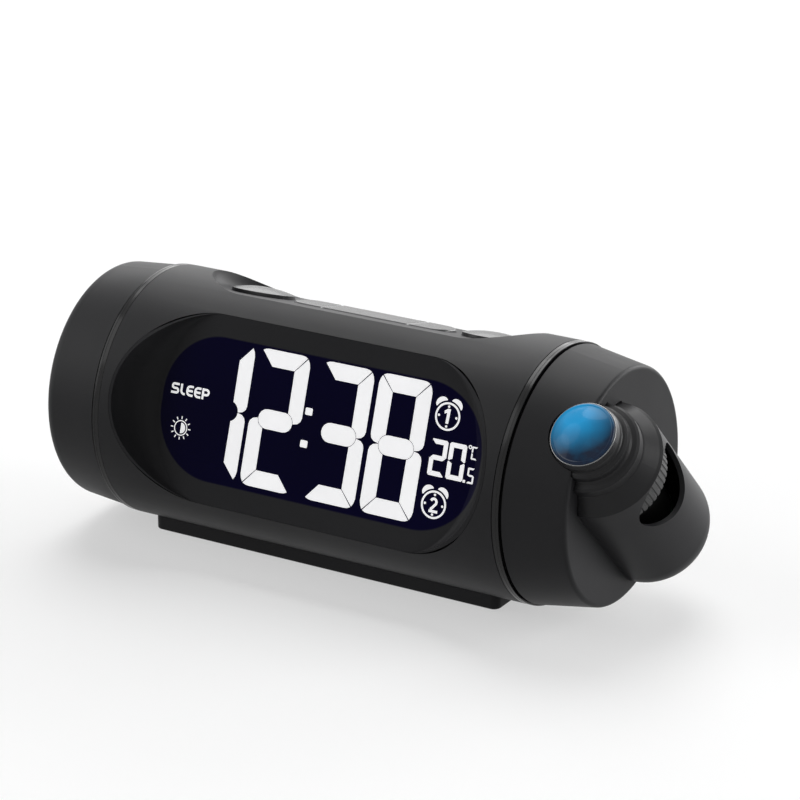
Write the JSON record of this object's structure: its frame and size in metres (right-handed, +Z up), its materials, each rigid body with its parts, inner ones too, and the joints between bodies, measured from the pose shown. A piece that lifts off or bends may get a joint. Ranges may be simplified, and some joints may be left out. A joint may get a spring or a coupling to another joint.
{
  "type": "projection alarm clock",
  "caption": "Black projection alarm clock: a lying cylinder with a deep-set display, keys on top and a swivelling time projector on its right end.",
  "frame": {"origin": "on the table top, under the middle of the whole clock with its projector", "axes": "+X along the cylinder towards the projector end, +Y to the rear, away from the display, +Z up"},
  "size_m": [0.2026, 0.08, 0.0818],
  "materials": {
    "black_case": "finely textured matt black ABS",
    "bright_trim": "polished black",
    "inner_plastic": "moulded black",
    "wheel_plastic": "moulded black, ribbed",
    "window_gloss": "polished black surround with a clear window",
    "lcd_glass": "dark indigo negative display with white figures",
    "clear_plastic": "clear acrylic",
    "circuit_board": "green solder mask",
    "component_black": "moulded black",
    "speaker_steel": "zinc plated",
    "speaker_paper": "pressed paper",
    "key_gloss": "satin black",
    "foot_rubber": "matt black",
    "cell_sleeve": "plain dark sleeve",
    "contact_metal": "nickel plated",
    "screw_steel": "zinc plated",
    "washer_plastic": "natural acetal",
    "washer_steel": "plain",
    "bezel_plastic": "satin black ABS",
    "lens_glass": "clear with a blue coating",
    "led_blue": "clear blue"
  },
  "bodies": {
    "clock_body": {"front_shell": "black_case", "rear_shell": "black_case", "left_cap": "black_case", "base_plinth": "black_case", "trim_ring_left": "bright_trim", "trim_ring_right": "bright_trim", "left_bulkhead": "inner_plastic", "right_bulkhead": "inner_plastic", "display_frame": "inner_plastic", "display_window": "window_gloss", "lcd_panel": "lcd_glass", "light_guide": "clear_plastic", "main_board": "circuit_board", "key_board": "circuit_board", "board_components": "component_black", "tact_switches": "component_black", "power_jack": "component_black", "speaker_frame": "speaker_steel", "speaker_magnet": "speaker_steel", "speaker_cone": "speaker_paper", "rubber_feet": "foot_rubber", "backup_batteries": "cell_sleeve", "battery_contacts": "contact_metal", "shell_screws": "screw_steel", "cap_screws": "screw_steel", "display_screws": "screw_steel", "key_board_screws": "screw_steel", "base_screws": "screw_steel", "retainer_screws": "screw_steel", "friction_washer": "washer_plastic", "swivel_retainer": "washer_steel"},
    "projector": {"projector_drum": "black_case", "drum_back_plate": "inner_plastic", "drum_screws": "screw_steel", "lens_bezel": "bezel_plastic", "optical_tube": "inner_plastic", "optical_tube_screws": "screw_steel", "condenser_lens": "lens_glass", "projector_lcd": "lcd_glass", "led_board": "circuit_board", "projector_led": "led_blue"},
    "focus_wheel_body": {"focus_wheel": "wheel_plastic"},
    "lens_group": {"lens_carrier": "inner_plastic", "front_lens": "lens_glass", "rear_lens": "lens_glass"},
    "button_left": {"round_button_left": "key_gloss"},
    "button_right": {"round_button_right": "key_gloss"},
    "key_left": {"strip_key_left": "key_gloss"},
    "key_middle": {"snooze_bar": "key_gloss"},
    "key_right": {"strip_key_right": "key_gloss"},
    "door": {"battery_door": "black_case"}
  },
  "joints": [
    {"name": "projector_tilt", "type": "hinge", "parent": "clock_body", "child": "projector", "pos_m": [0.06305, 0, 0.0418], "axis": [-1, 0, 0], "range_deg": [-45, 135]},
    {"name": "focus_turn", "type": "hinge", "parent": "projector", "child": "focus_wheel_body", "pos_m": [0.08265, -0.01179, 0.05219], "axis": [0, -0.7157, 0.6984], "range_deg": [-60, 60]},
    {"name": "lens_slide", "type": "slide", "parent": "projector", "child": "lens_group", "axis": [0, -0.7157, 0.6984], "range_m": [-0.0012, 0.0012]},
    {"name": "button_left_press", "type": "slide", "parent": "clock_body", "child": "button_left", "axis": [0, -0.3123, -0.95], "range_m": [0, 0.0008], "stiffness_N_per_m": 1500},
    {"name": "key_left_press", "type": "slide", "parent": "clock_body", "child": "key_left", "axis": [0, -0.3123, -0.95], "range_m": [0, 0.0008], "stiffness_N_per_m": 1500},
    {"name": "key_middle_press", "type": "slide", "parent": "clock_body", "child": "key_middle", "axis": [0, -0.3123, -0.95], "range_m": [0, 0.0008], "stiffness_N_per_m": 1500},
    {"name": "key_right_press", "type": "slide", "parent": "clock_body", "child": "key_right", "axis": [0, -0.3123, -0.95], "range_m": [0, 0.0008], "stiffness_N_per_m": 1500},
    {"name": "button_right_press", "type": "slide", "parent": "clock_body", "child": "button_right", "axis": [0, -0.3123, -0.95], "range_m": [0, 0.0008], "stiffness_N_per_m": 1500},
    {"name": "battery_door_hinge", "type": "hinge", "parent": "clock_body", "child": "door", "pos_m": [-0.03465, 0.0015, 0.0017], "axis": [0, 1, 0], "range_deg": [0, 95]}
  ],
  "couplings": [
    {"joint": "focus_turn", "follows": "lens_slide", "rad_per_m": 872.6}
  ]
}
